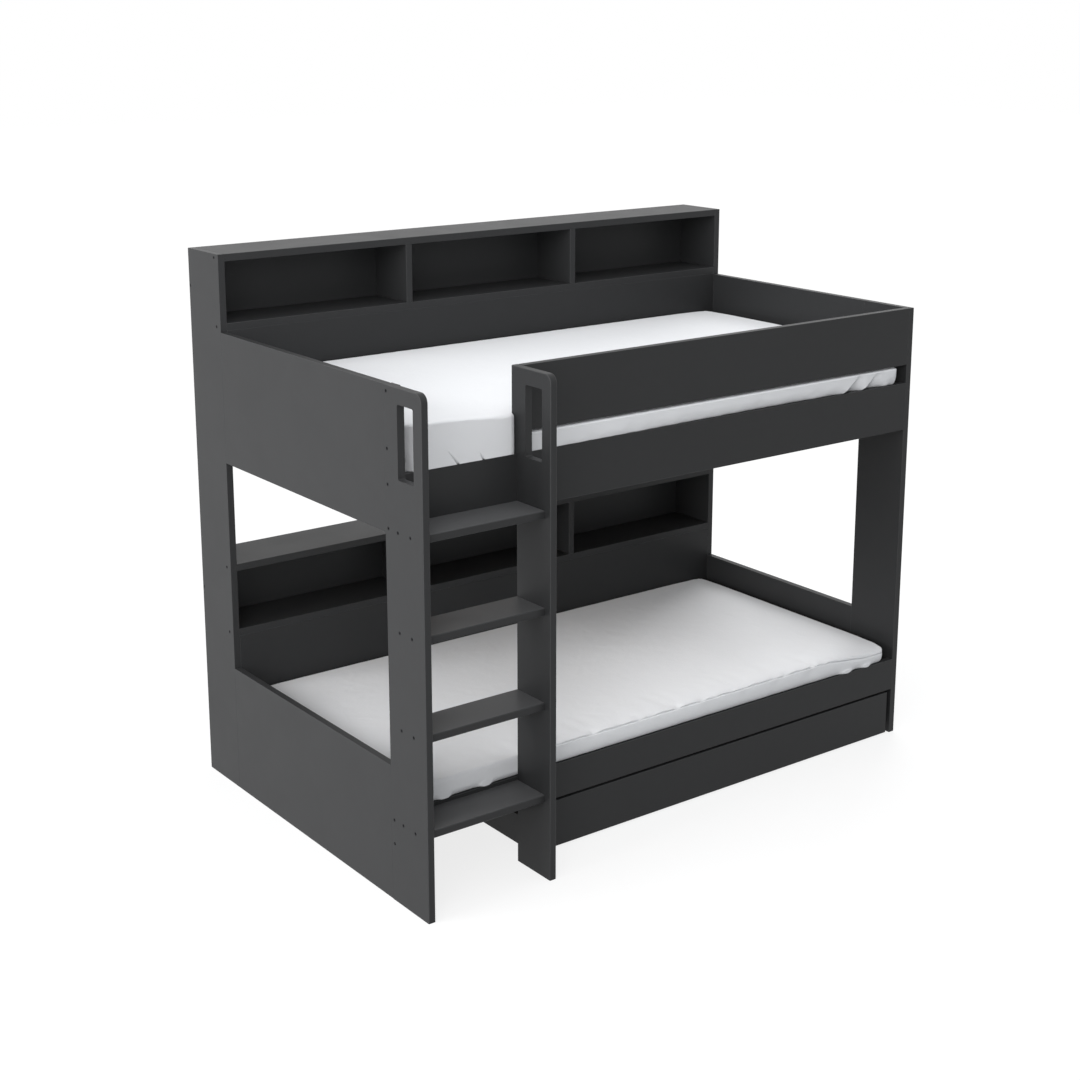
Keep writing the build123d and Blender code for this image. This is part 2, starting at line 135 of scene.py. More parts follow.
class Graph:
    """The nodes of one material or of the world."""

    def __init__(self, name: str, world: bool = False) -> None:
        """Makes an empty material or world.

        Args:
            name: its name.
            world: whether it is a world.
        """
        self.owner = (bpy.data.worlds if world else bpy.data.materials).new(name)
        self.owner.use_nodes = True
        self.tree = self.owner.node_tree
        self.tree.nodes.clear()

    def node(
        self,
        kind: str,
        settings: Optional[dict[str, Any]] = None,
        sockets: Optional[dict[Union[int, str], Any]] = None,
    ) -> bpy.types.Node:
        """Adds a node.

        Args:
            kind: the node's type.
            settings: its properties.
            sockets: values or links of its inputs, by name or number, None for no change.

        Returns:
            The node.
        """
        made = self.tree.nodes.new(kind)
        for key, value in (settings or {}).items():
            setattr(made, key, value)
        for key, value in (sockets or {}).items():
            if isinstance(value, Signal):
                value = value.socket
            if isinstance(value, bpy.types.NodeSocket):
                self.tree.links.new(value, made.inputs[key])
            elif value is not None:
                made.inputs[key].default_value = value
        return made

    def maths(self, operation: str, *values: Number) -> Signal:
        """The result of a Math node, from links or plain numbers."""
        made = self.node("ShaderNodeMath", {"operation": operation}, dict(enumerate(values)))
        return Signal(self, made.outputs[0])

    def coordinates(self, kind: str = "Object") -> bpy.types.NodeSocket:
        """A Texture Coordinate output, by name."""
        return self.node("ShaderNodeTexCoord").outputs[kind]

    def parts(self, vector: bpy.types.NodeSocket) -> list[Signal]:
        """The three numbers of a vector."""
        made = self.node("ShaderNodeSeparateXYZ", None, {0: vector})
        return [Signal(self, out) for out in made.outputs]

    def stretch(self, scale: Sequence[float]) -> bpy.types.NodeSocket:
        """Object coordinates, scaled by one factor per axis."""
        sockets = {"Vector": self.coordinates(), "Scale": tuple(scale)}
        return self.node("ShaderNodeMapping", None, sockets).outputs[0]

    def speckle(
        self,
        scale: float,
        detail: float = 2,
        vector: Optional[bpy.types.NodeSocket] = None,
        distortion: float = 0,
    ) -> Signal:
        """Cloudy noise from 0 to 1.

        Args:
            scale: noise cells per metre of the vector.
            detail: how many finer layers it has.
            vector: the coordinates, plain object coordinates if left out.
            distortion: how much it is stirred.

        Returns:
            The noise.
        """
        sockets = {
            "Vector": vector or self.coordinates(),
            "Scale": scale,
            "Detail": detail,
            "Distortion": distortion,
        }
        made = self.node("ShaderNodeTexNoise", None, sockets)
        return Signal(self, made.outputs[0])

    def blend(self, factor: Number, first: Any, second: Any) -> bpy.types.NodeSocket:
        """Mixes two colours.

        Args:
            factor: the share of the second.
            first: a colour or a link to one.
            second: a colour or a link to one.

        Returns:
            The mixed colour.
        """
        ends = [(*c, 1) if isinstance(c, tuple) else c for c in (first, second)]
        sockets = {0: factor, 6: ends[0], 7: ends[1]}
        return self.node("ShaderNodeMix", {"data_type": "RGBA"}, sockets).outputs[2]

    def relief(
        self, height: Signal, distance: float, below: Optional[bpy.types.NodeSocket] = None
    ) -> bpy.types.NodeSocket:
        """The normal of a relief so many metres high, over that of a coarser one below it."""
        sockets = {"Height": height, "Distance": distance, "Normal": below}
        return self.node("ShaderNodeBump", None, sockets).outputs[0]

    def surface(self, **sockets: Any) -> bpy.types.Material:
        """Ends the graph in a Principled shader.

        Args:
            sockets: values or links, with _ for a blank in the socket's name.

        Returns:
            The material.
        """
        named = {key.replace("_", " "): value for key, value in sockets.items()}
        colour = named["Base Color"]
        if isinstance(colour, tuple):
            named["Base Color"] = (*colour, 1)
        shader = self.node("ShaderNodeBsdfPrincipled", None, named)
        self.node("ShaderNodeOutputMaterial", None, {"Surface": shader.outputs[0]})
        return self.owner


def shade(colour: Colour, factor: float) -> Colour:
    """A colour, lighter or darker by a factor."""
    return tuple(min(1.0, c * factor) for c in colour)


# Finishes


@dataclass(frozen=True)
class BoardFinish:
    """Matte anthracite melamine, edged on the narrow sides, with a painted edge highlight and,
    on treads, a paler top that is painted light.
    """

    name: str
    faces: Side
    colour: Colour = (0.0270, 0.0274, 0.0282)
    roughness: float = 0.44
    gloss: float = 0.168
    # paler colour for upward faces of treads: painted light standing in for light falling on
    # them
    painted_light_top: Optional[Colour] = None
    flat: Span = (0.90, 0.97)
    rounded: Span = (0.25, 0.45)

    def build(self) -> bpy.types.Material:
        """Makes the material.

        Returns:
            The material.
        """
        graph = Graph(self.name)
        normals = graph.parts(graph.coordinates("Normal"))
        facing = abs(normals[self.faces.value])
        edging = 1 - facing.step(*self.flat)
        # Rounded faces between face and edge are lightened strongly: a painted edge highlight.
        painted_edge_highlight = facing.step(*self.rounded) * edging
        clouds = graph.speckle(2.2, 3)
        mottle = graph.speckle(38, 3)
        pearl = graph.speckle(420, 3)
        handled = graph.speckle(7, 4, distortion=0.6)
        patchy = clouds * 0.6 + mottle * 0.4
        face = graph.blend(patchy, shade(self.colour, 0.90), shade(self.colour, 1.10))
        banded = graph.blend(edging * 0.5, face, shade(self.colour, 1.12))
        colour = graph.blend(painted_edge_highlight * 0.75, banded, shade(self.colour, 1.9))
        # Upward faces blend to a paler colour: painted light, the lit top of the treads.
        if self.painted_light_top:
            top = graph.blend(patchy, shade(self.painted_light_top, 0.93), shade(self.painted_light_top, 1.07))
            colour = graph.blend(normals[Side.Z.value].step(*self.flat), colour, top)
        roughness = self.roughness + (handled - 0.5) * 0.10
        roughness = roughness + (pearl - 0.5) * 0.06 - edging * 0.03
        flat = graph.relief(clouds, 0.9 * MM)
        normal = graph.relief(pearl + mottle * 0.5, 0.05 * MM, flat)
        return graph.surface(
            Base_Color=colour, Roughness=roughness, Normal=normal, Specular_IOR_Level=self.gloss
        )


@dataclass(frozen=True)
class TimberFinish:
    """Planed softwood or beech, with its grain along one axis."""

    name: str
    along: Side
    pale: Colour = (0.60, 0.43, 0.25)
    dark: Colour = (0.43, 0.27, 0.13)
    depth: float = 0.12 * MM

    def drawn_out(self, across: float, along: float) -> list[float]:
        """A scale across the grain, with another along it."""
        return [along if side is self.along else across for side in Side]

    def build(self) -> bpy.types.Material:
        """Makes the material.

        Returns:
            The material.
        """
        graph = Graph(self.name)
        rings = graph.speckle(1.0, 4, graph.stretch(self.drawn_out(55.0, 2.4)), 0.8)
        pores = graph.speckle(1.0, 3, graph.stretch(self.drawn_out(900.0, 22.0)))
        patches = graph.speckle(3, 2)
        bands = (rings * 26).wave() * 0.5 + 0.5
        grain = bands * 0.55 + pores * 0.25 + patches * 0.2
        colour = graph.blend(grain, self.pale, self.dark)
        normal = graph.relief(pores * 0.6 + bands * 0.4, self.depth)
        roughness = 0.62 + (pores - 0.5) * 0.16
        return graph.surface(Base_Color=colour, Roughness=roughness, Normal=normal)


@dataclass(frozen=True)
class SheetFinish:
    """White cotton sheet in a fine plain weave."""

    name: str = "cotton_sheet"
    colour: Colour = (0.76, 0.765, 0.78)
    thread: float = 0.7 * MM

    def build(self) -> bpy.types.Material:
        """Makes the material.

        Returns:
            The material.
        """
        graph = Graph(self.name)
        turn = math.tau / self.thread
        across, along, up = graph.parts(graph.coordinates())
        weave = ((across * turn).wave() + (along * turn).wave() + (up * turn).wave()) / 6 + 0.5
        crumple = graph.speckle(16, 4, distortion=0.7)
        slub = graph.speckle(240, 2)
        tint = graph.speckle(5, 3)
        mixed = tint * 0.6 + slub * 0.4
        colour = graph.blend(mixed, shade(self.colour, 0.965), shade(self.colour, 1.03))
        soft = graph.relief(crumple, 1.6 * MM)
        normal = graph.relief(weave * 0.7 + slub * 0.3, 0.06 * MM, soft)
        roughness = 0.88 + (slub - 0.5) * 0.12
        return graph.surface(
            Base_Color=colour,
            Roughness=roughness,
            Normal=normal,
            Sheen_Weight=0.12,
            Sheen_Roughness=0.45,
            Specular_IOR_Level=0.25,
        )


@dataclass(frozen=True)
class WebbingFinish:
    """Flat woven strap."""

    name: str = "strap_weave"
    colour: Colour = (0.42, 0.42, 0.40)
    rib: float = 2.2 * MM

    def build(self) -> bpy.types.Material:
        """Makes the material.

        Returns:
            The material.
        """
        graph = Graph(self.name)
        across, along, _ = graph.parts(graph.coordinates())
        turn = math.tau / self.rib
        ribs = (across * turn).wave() * 0.5 + 0.5
        cords = (along * turn).wave() * 0.5 + 0.5
        fuzz = graph.speckle(600, 2)
        weave = ribs * cords * 0.8 + fuzz * 0.2
        colour = graph.blend(weave, shade(self.colour, 0.7), shade(self.colour, 1.15))
        normal = graph.relief(weave, 0.3 * MM)
        return graph.surface(Base_Color=colour, Roughness=0.85, Normal=normal)


@dataclass(frozen=True)
class SteelFinish:
    """Blackened steel of screws and axles, turned round the axis that it lies on."""

    name: str
    colour: Colour = (0.012, 0.012, 0.013)
    metal: float = 0.1
    roughness: float = 0.5
    gloss: float = 0.08

    def build(self) -> bpy.types.Material:
        """Makes the material.

        Returns:
            The material.
        """
        graph = Graph(self.name)
        turned = graph.speckle(900, 3)
        wear = graph.speckle(160, 3)
        colour = graph.blend(wear.step(0.55, 0.8) * 0.5, self.colour, shade(self.colour, 2.4))
        roughness = self.roughness + (turned - 0.5) * 0.2
        normal = graph.relief(turned, 0.03 * MM)
        return graph.surface(
            Base_Color=colour,
            Metallic=self.metal,
            Roughness=roughness,
            Normal=normal,
            Specular_IOR_Level=self.gloss,
        )


@dataclass(frozen=True)
class PlasticFinish:
    """Moulded plastic with a fine spark-eroded texture."""

    name: str
    colour: Colour
    roughness: float = 0.5

    def build(self) -> bpy.types.Material:
        """Makes the material.

        Returns:
            The material.
        """
        graph = Graph(self.name)
        spark = graph.speckle(1500, 3)
        flow = graph.speckle(60, 3)
        colour = graph.blend(flow, shade(self.colour, 0.88), shade(self.colour, 1.14))
        roughness = self.roughness + (spark - 0.5) * 0.12
        normal = graph.relief(spark, 0.04 * MM)
        return graph.surface(Base_Color=colour, Roughness=roughness, Normal=normal)


class Finishes:
    """All the bed's finishes, made once."""

    def __init__(self) -> None:
        """Makes the materials."""
        self.board = {s: BoardFinish(f"board_faces_{s.name.lower()}", s).build() for s in Side}
        # Treads get a paler colour on their upward faces as painted light.
        self.tread = BoardFinish("tread_board", Side.Z, painted_light_top=(0.082, 0.083, 0.085)).build()
        self.timber = {s: TimberFinish(f"pine_along_{s.name.lower()}", s).build() for s in Side}
        paint = (0.0288, 0.0292, 0.030), (0.0204, 0.0206, 0.0214)
        self.painted = TimberFinish("painted_pine", Side.Z, *paint, depth=0.06 * MM).build()
        beech = (0.58, 0.38, 0.22), (0.48, 0.29, 0.15)
        self.beech = TimberFinish("beech", Side.Y, *beech).build()
        self.sheet = SheetFinish().build()
        self.webbing = WebbingFinish().build()
        self.screw = SteelFinish("black_screw_steel").build()
        self.axle = SteelFinish("axle_steel", (0.34, 0.34, 0.35), 1.0, 0.36, 0.5).build()
        self.castor = PlasticFinish("castor_plastic", (0.030, 0.030, 0.032)).build()
        self.wheel = PlasticFinish("wheel_plastic", (0.085, 0.085, 0.09), 0.42).build()


# Meshes and pieces


def lengths(node: str) -> dict[Side, float]:
    """How long a CAD node is along each axis."""
    low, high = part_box(node)
    return {side: (high - low)[side.value] for side in Side}


def dress(node: str, material: bpy.types.Material) -> None:
    """Gives a CAD node its finish.

    Args:
        node: the node's name.
        material: its finish.
    """
    piece = frame["nodes"][node]
    if not piece.data.materials:
        piece.data.materials.append(None)
    for place in piece.material_slots:
        place.link = "OBJECT"
        place.material = material
    log.info("dressed %s with %s", node, material.name)


def to_piece(
    mesh: bmesh.types.BMesh, name: str, material: bpy.types.Material
) -> bpy.types.Object:
    """Turns a bmesh into an object with smooth faces.

    Args:
        mesh: the bmesh, which is freed.
        name: the object's name.
        material: its finish.

    Returns:
        The object, linked to the scene.
    """
    data = bpy.data.meshes.new(name)
    mesh.to_mesh(data)
    mesh.free()
    data.materials.append(material)
    data.shade_smooth()
    piece = bpy.data.objects.new(name, data)
    bpy.context.scene.collection.objects.link(piece)
    return piece


def applied(piece: bpy.types.Object) -> None:
    """Makes a piece's modifiers part of its mesh.

    Args:
        piece: the piece, whose modifiers are removed.
    """
    graph = bpy.context.evaluated_depsgraph_get()
    made = bpy.data.meshes.new_from_object(piece.evaluated_get(graph))
    old = piece.data
    piece.modifiers.clear()
    piece.data = made
    made.name = piece.name
    bpy.data.meshes.remove(old)


def clamped(value: float) -> float:
    """A number kept between 0 and 1."""
    return min(1.0, max(0.0, value))


def smooth_step(low: float, high: float, value: float) -> float:
    """Runs smoothly from 0 at low to 1 at high."""
    share = clamped((value - low) / (high - low))
    return share * share * (3 - 2 * share)


def ramp(base: float, span: Span, value: float) -> float:
    """Runs smoothly from 0 to 1 over a span that is counted from a base."""
    return smooth_step(base + span[0], base + span[1], value)


def hump(value: float, width: float) -> float:
    """A bell of height 1 round 0."""
    return math.exp(-((value / width) ** 2))


def solids_of(node: str) -> list[tuple[Vector, Vector]]:
    """The box of each solid of a CAD node.

    Args:
        node: the node's name.

    Returns:
        Lowest and highest corners, in order of place.
    """
    copy = bmesh.new()
    copy.from_mesh(frame["nodes"][node].data)
    bmesh.ops.remove_doubles(copy, verts=copy.verts, dist=0.01 * MM)
    left = set(copy.verts)
    boxes = []
    while left:
        reached = [left.pop()]
        corners = []
        while reached:
            vert = reached.pop()
            corners.append(vert.co.copy())
            for edge in vert.link_edges:
                other = edge.other_vert(vert)
                if other in left:
                    left.remove(other)
                    reached.append(other)
        low = Vector(min(c[i] for c in corners) for i in range(3))
        high = Vector(max(c[i] for c in corners) for i in range(3))
        boxes.append((low, high))
    copy.free()
    return sorted(boxes, key=lambda pair: tuple(round(x, 5) for x in pair[0]))


# Sub-assemblies


@dataclass
class Boards:
    """The finishes of all the CAD nodes."""

    finishes: Finishes
    steps: int = 4
    anthracite: tuple[str, ...] = (
        "anthracite_board", "anthracite_back_panel", "drawer_base_board",
    )

    def dress_all(self) -> None:
        """Dresses each node by its name or its slot and by how it lies."""
        by_slot = {
            "strap_webbing": self.finishes.webbing,
            "castor_plastic": self.finishes.castor,
            "wheel_plastic": self.finishes.wheel,
            "screw_steel": self.finishes.axle,
            "mattress_cover": self.finishes.sheet,
        }
        by_name = {
            "left_joining_batten": self.finishes.painted,
            "end_panel_dowels": self.finishes.beech,
            "upper_slats": self.finishes.timber[Side.Y],
            "lower_slats": self.finishes.timber[Side.Y],
        }
        for number in range(1, self.steps + 1):
            by_name[f"ladder_step_{number}"] = self.finishes.tread
        for part in frame["record"]["subparts"]:
            node, slot = part["node"], part["material_slot"]
            size = lengths(node)
            if node in by_name:
                dress(node, by_name[node])
            elif slot in self.anthracite:
                dress(node, self.finishes.board[min(size, key=size.get)])
            elif slot == "pine":
                dress(node, self.finishes.timber[max(size, key=size.get)])
            else:
                dress(node, by_slot[slot])


OUTWARD = {
    "left_end_screws": Vector((-1, 0, 0)),
    "right_end_screws": Vector((1, 0, 0)),
    "step_screws": Vector((1, 0, 0)),
    "rail_screws": Vector((0, 1, 0)),
    "joining_screws": Vector((-1, 0, 0)),
}


@dataclass
class Screws:
    """Flat-headed screws with a hexagon socket, one for each solid of a CAD screw node."""

    finishes: Finishes
    head_radius: float = 4.5 * MM
    head_height: float = 3.0 * MM
    rim: float = 0.45 * MM
    socket_radius: float = 2.35 * MM
    socket_depth: float = 2.0 * MM
    shank_radius: float = 2.5 * MM
    root_radius: float = 1.9 * MM
    pitch: float = 3.0 * MM
    groove: float = 0.35
    tip: float = 0.35
    sides: int = 24
    twist: float = 0.7
    sharp: float = 35.0
    body: str = "bed_frame"

    def one(self, length: float) -> bmesh.types.BMesh:
        """A screw whose head's face lies at the origin and looks along +Z.

        Args:
            length: from the head's face to the tip.

        Returns:
            The screw.
        """
        mesh = bmesh.new()
        bmesh.ops.create_circle(mesh, segments=6, radius=self.socket_radius)
        bmesh.ops.subdivide_edges(mesh, edges=mesh.edges, cuts=self.sides // 6 - 1)
        hexagon = list(mesh.edges)
        face_radius = self.head_radius - self.rim
        bmesh.ops.create_circle(mesh, segments=self.sides, radius=face_radius)
        circle = [edge for edge in mesh.edges if edge not in hexagon]
        bmesh.ops.bridge_loops(mesh, edges=hexagon + circle)
        self.drawn(mesh, hexagon, -self.socket_depth, 1.0, closed=True)
        rim = self.drawn(mesh, circle, -self.rim, self.head_radius / face_radius)
        side = self.drawn(mesh, rim, self.rim - self.head_height, 1.0)
        neck = self.drawn(mesh, side, 0.0, self.shank_radius / self.head_radius)
        turns = int((length - self.head_height) / self.pitch) - 2
        share = self.root_radius / self.shank_radius
        for _ in range(turns):
            neck = self.drawn(mesh, neck, -self.pitch * self.groove, share)
            neck = self.drawn(mesh, neck, -self.pitch * (1 - self.groove), 1 / share)
        left = length - self.head_height - turns * self.pitch
        self.drawn(mesh, neck, -left, self.tip, closed=True)
        bmesh.ops.recalc_face_normals(mesh, faces=mesh.faces)
        return mesh

    @staticmethod
    def drawn(
        mesh: bmesh.types.BMesh,
        loop: Iterable[bmesh.types.BMEdge],
        drop: float,
        share: float,
        closed: bool = False,
    ) -> list[bmesh.types.BMEdge]:
        """Draws a loop of edges out along Z and scales it about that axis.

        Args:
            mesh: the bmesh.
            loop: the edges.
            drop: the move along Z.
            share: the new radius over the old one.
            closed: whether the new loop is filled.

        Returns:
            The new loop.
        """
        made = bmesh.ops.extrude_edge_only(mesh, edges=list(loop))["geom"]
        verts = [item for item in made if isinstance(item, bmesh.types.BMVert)]
        edges = [
            item
            for item in made
            if isinstance(item, bmesh.types.BMEdge) and all(v in verts for v in item.verts)
        ]
        bmesh.ops.scale(mesh, verts=verts, vec=(share, share, 1))
        bmesh.ops.translate(mesh, verts=verts, vec=(0, 0, drop))
        if closed:
            bmesh.ops.contextual_create(mesh, geom=edges)
        return edges

    def build(self) -> None:
        """Makes the screws of each node and puts them where the CAD has them."""
        for node, outward in OUTWARD.items():
            turn = outward.to_track_quat("Z", "Y").to_matrix().to_4x4()
            axis = Side.X.value if abs(outward.x) > 0.5 else Side.Y.value
            whole = bmesh.new()
            for number, (low, high) in enumerate(solids_of(node)):
                face = (low + high) / 2
                face[axis] = low[axis] if outward[axis] < 0 else high[axis]
                twist = Matrix.Rotation(number * self.twist, 4, "Z")
                screw = self.one(high[axis] - low[axis])
                bmesh.ops.transform(
                    screw, verts=screw.verts, matrix=Matrix.Translation(face) @ turn @ twist
                )
                joined = bpy.data.meshes.new("screw")
                screw.to_mesh(joined)
                screw.free()
                whole.from_mesh(joined)
                bpy.data.meshes.remove(joined)
            piece = to_piece(whole, f"{node}_turned", self.finishes.screw)
            piece.data.set_sharp_from_angle(angle=math.radians(self.sharp))
            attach(piece, self.body)
            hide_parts(node)
            log.info("made %s", piece.name)


@dataclass(frozen=True)
class Fold:
    """A crease or pleat of the front wall, whose cloth stands out on its left side."""

    foot: Span
    head: Span
    depth: float
    stand: float
    behind: float = 2.5 * MM
    ahead: float = 9 * MM
    turn: float = 1.0 * MM
    fade: float = 0.7
    power: float = 1.0
    closing: float = 0.65

    def share(self, z: float) -> float:
        """How far up the fold a height lies, from 0 at its foot to 1 at its head."""
        return (z - self.foot[1]) / (self.head[1] - self.foot[1])

    def shift(self, x: float, z: float) -> float:
        """How far back the fold pulls the wall at a place.

        Args:
            x: the place along the bed.
            z: its height.

        Returns:
            The move along +Y.
        """
        share = max(0.0, self.share(z))
        if share >= 1:
            return 0.0
        gap = x - self.foot[0] - (self.head[0] - self.foot[0]) * share
        right = smooth_step(-self.turn, self.turn, gap)
        open_width = self.behind * (1 - self.closing * share)
        back = self.depth * math.exp(-((max(gap, 0.0) / open_width) ** self.power))
        out = self.stand * math.exp(min(gap, 0.0) / self.ahead)
        return (1 - share) ** self.fade * (right * back - (1 - right) * out)

    def near(self, x: float, z: float, margin: float) -> bool:
        """Whether a place lies within a margin of the fold's line."""
        line = self.foot[0] + (self.head[0] - self.foot[0]) * clamped(self.share(z))
        return abs(x - line) < margin and z < self.head[1] + margin / 2


@dataclass(frozen=True)
class Ruffle:
    """A lump of tucked cloth that swells over the rail's top."""

    at: float
    height: float
    reach: float
    width: float = 22 * MM
    tall: float = 12 * MM


@dataclass(frozen=True)
class Welt:
    """The crease along the front's upper edge, which sinks towards the right end."""

    level: float
    sunk: float
    start: float
    end: float
    depth: float = 6 * MM
    width: float = 2.2 * MM
    roll: float = 32 * MM
    far_roll: float = 48 * MM
    dip: float = 3.2 * MM
    wave: float = 1.2 * MM
    waves: float = 16.0

    def run(self, x: float) -> float:
        """How far along its fall the crease is."""
        return smooth_step(self.start, self.end, x)

    def height(self, x: float) -> float:
        """The height of the crease at a place along the bed."""
        wave = noise.noise(Vector((x * self.waves, 0, 3))) * self.wave
        return self.level - self.sunk * self.run(x) + wave


CLOTH = {
    "quality": 6,
    "mass": 0.3,
    "tension_stiffness": 12,
    "compression_stiffness": 12,
    "shear_stiffness": 4,
    "bending_stiffness": 0.3,
    "vertex_group_mass": "held",
    "pin_stiffness": 1.2,
    "shrink_min": -0.012,
    "use_pressure": True,
    "uniform_pressure_force": 4.0,
}


@dataclass
class Mattress:
    """A foam mattress in a fitted sheet, puffed by a cloth simulation and then creased."""

    node: str
    finishes: Finishes
    rail: str
    hang: float
    corner: float
    edge: float
    tuck: float
    tuck_start: float
    tuck_end: float
    tuck_height: float = 28 * MM
    guard: Optional[str] = None
    post: Optional[str] = None
    folds: tuple[Fold, ...] = ()
    ruffles: tuple[Ruffle, ...] = ()
    welt: Optional[Welt] = None
    lift: float = 0.0
    rise: float = 0.0
    fill: float = 0.9
    body: str = "bed_frame"
    ladder_corner: float = 58 * MM
    foot_edge: float = 7 * MM
    shrink: float = 0.8 * MM
    pitch: float = 25 * MM
    rise_pitch: float = 12 * MM
    crown: float = 3.5 * MM
    droop: float = 2 * MM
    swell: float = 3 * MM
    frames: int = 20
    pucker: float = 1.2 * MM
    pucker_pitch: float = 47 * MM
    pucker_reach: float = 190 * MM
    pucker_slope: float = 0.85
    pucker_lean: float = 1.9
    drift: float = 0.7 * MM
    drift_scale: tuple[float, ...] = (9, 9, 14)
    waves: float = 1.6 * MM
    wave_scale: Span = (2.1, 3.0)
    stir: float = 1.3
    stir_scale: float = 4.0
    pucker_span: Span = (0.1, 0.85)
    droop_reach: float = 80 * MM
    front_reach: float = 250 * MM
    hang_reach: Span = (4 * MM, 60 * MM)
    ladder: Span = (-0.60, -0.30)
    lean: tuple[float, float, float] = (-0.88, -0.57, -0.40)
    swollen: float = 12 * MM
    spare: float = 0.8 * MM
    end_gap: float = 2 * MM
    rail_gap: float = 0.3 * MM
    proud: float = 3 * MM
    proud_reach: Span = (-0.56, -0.30)
    foot_held: float = 60 * MM
    full_top: float = 12 * MM
    seam: float = 8 * MM
    held_reach: Span = (30 * MM, 200 * MM)
    grip: tuple[float, float, float] = (0.25, 0.73, 0.8)
    over_rail: Span = (0.1 * MM, 0.5 * MM)
    past_end: Span = (30 * MM, 70 * MM)
    before_post: Span = (-5 * MM, -0.8 * MM)
    past_post: Span = (2 * MM, 24 * MM)
    under_guard: Span = (-9 * MM, -1.5 * MM)
    roll_reach: Span = (-34 * MM, -4 * MM)
    below_welt: float = 1.5 * MM
    detail_reach: float = 30 * MM
    margins: Span = (36 * MM, 14 * MM)
    rail_cuts: tuple[float, ...] = (0.08, 0.5, 2, 4, 7, 11, 16)
    guard_cuts: tuple[float, ...] = (9, 5, 1.5)

    def __post_init__(self) -> None:
        """Reads where the mattress, its rail, the guard and the post are."""
        self.low, self.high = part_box(self.node)
        rail_low, rail_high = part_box(self.rail)
        self.rail_top, self.rail_face = rail_high.z, rail_low.y
        self.middle = (self.low + self.high) / 2
        self.half = (self.high - self.low) / 2
        self.guard_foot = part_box(self.guard)[0].z if self.guard else math.inf
        self.post_sides = [end.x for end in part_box(self.post)] if self.post else []

    def block(self) -> bmesh.types.BMesh:
        """The foam's rounded block, cut into an even net.

        Returns:
            The block.
        """
        mesh = bmesh.new()
        bmesh.ops.create_cube(mesh, size=1)
        size = self.high - self.low - Vector((2, 2, 1)) * self.shrink
        size.z -= self.crown
        bmesh.ops.scale(mesh, verts=mesh.verts, vec=size)
        foot = Vector((self.middle.x, self.middle.y, self.low.z + size.z / 2))
        bmesh.ops.translate(mesh, verts=mesh.verts, vec=foot)
        upright = [e for e in mesh.edges if abs(e.verts[0].co.z - e.verts[1].co.z) > size.z / 2]
        by_ladder = [
            e for e in upright if all(v.co.x < foot.x and v.co.y < foot.y for v in e.verts)
        ]
        others = [e for e in upright if e not in by_ladder]
        bevel = {"affect": "EDGES", "profile": 0.5, "material": -1}
        bmesh.ops.bevel(mesh, geom=by_ladder, offset=self.ladder_corner, segments=8, **bevel)
        bmesh.ops.bevel(mesh, geom=others, offset=self.corner, segments=5, **bevel)
        for side, radius in ((1, self.edge), (-1, self.foot_edge)):
            rim = [
                e
                for e in mesh.edges
                if all((v.co.z - foot.z) * side > size.z / 2 - MM for v in e.verts)
                and any(abs(f.normal.z) < 0.5 for f in e.link_faces)
            ]
            bmesh.ops.bevel(mesh, geom=rim, offset=radius, segments=4, **bevel)
        inner = Vector((1, 1, 1)) * self.edge
        pitches = (self.pitch, self.pitch, self.rise_pitch)
        for side, pitch in zip(Side, pitches):
            start = foot[side.value] - size[side.value] / 2 + inner[side.value]
            room = size[side.value] - 2 * inner[side.value]
            count = round(room / pitch)
            self.cut(mesh, side, [start + room * n / count for n in range(count + 1)])
        return mesh

    @staticmethod
    def cut(mesh: bmesh.types.BMesh, side: Side, places: Iterable[float]) -> None:
        """Cuts a mesh's faces where planes across an axis meet them.

        Args:
            mesh: the bmesh.
            side: the axis.
            places: where the planes are along it.
        """
        across = Vector(1.0 if n == side.value else 0.0 for n in range(3))
        for place in places:
            every = [*mesh.verts, *mesh.edges, *mesh.faces]
            bmesh.ops.bisect_plane(
                mesh, geom=every, plane_co=across * place, plane_no=across, dist=0.02 * MM
            )

    def crowned(self, place: Vector) -> float:
        """How far the top rises or droops at a place.

        Args:
            place: a point of the sheet.

        Returns:
            The rise in metres.
        """
        x = min(1.0, abs(place.x - self.middle.x) / self.half.x)
        y = min(1.0, abs(place.y - self.middle.y) / self.half.y)
        inside = (1 - x**6) * (1 - y**4)
        gap = Vector((self.half.x * (1 - x), self.half.y * (1 - y)))
        fall = self.droop * hump(gap.length, self.droop_reach)
        along, across = self.wave_scale
        spot = Vector((place.x * along, place.y * across, self.low.z))
        waves = noise.noise(spot) * self.waves
        left, right, end = self.lean
        lean = 1 - 2 * smooth_step(left, right, place.x) + smooth_step(right, end, place.x)
        near_front = 1 - smooth_step(self.low.y, self.low.y + self.front_reach, place.y)
        fall -= (self.lift * lean + self.risen(place.x)) * near_front
        upper = smooth_step(self.low.z + self.foot_held, self.high.z - self.full_top, place.z)
        return (self.crown * inside - fall + waves * inside) * upper

    def risen(self, x: float) -> float:
        """How much higher the front's upper edge stands at a place along the bed."""
        return self.rise * (1 - self.welt.run(x)) if self.welt else 0.0

    def holds(self, place: Vector) -> float:
        """How firmly a point of the sheet stays put in the simulation.

        Args:
            place: a point of the sheet.

        Returns:
            The pin weight.
        """
        if place.z < self.low.z + self.seam:
            return 1.0
        x = self.half.x - abs(place.x - self.middle.x)
        y = self.half.y - abs(place.y - self.middle.y)
        inward = smooth_step(*self.held_reach, min(x, y))
        rim = hump(place.z - (self.high.z - self.crown), 1.5 * self.edge)
        loose, more, at_rim = self.grip
        return max(loose + more * inward, at_rim * rim)

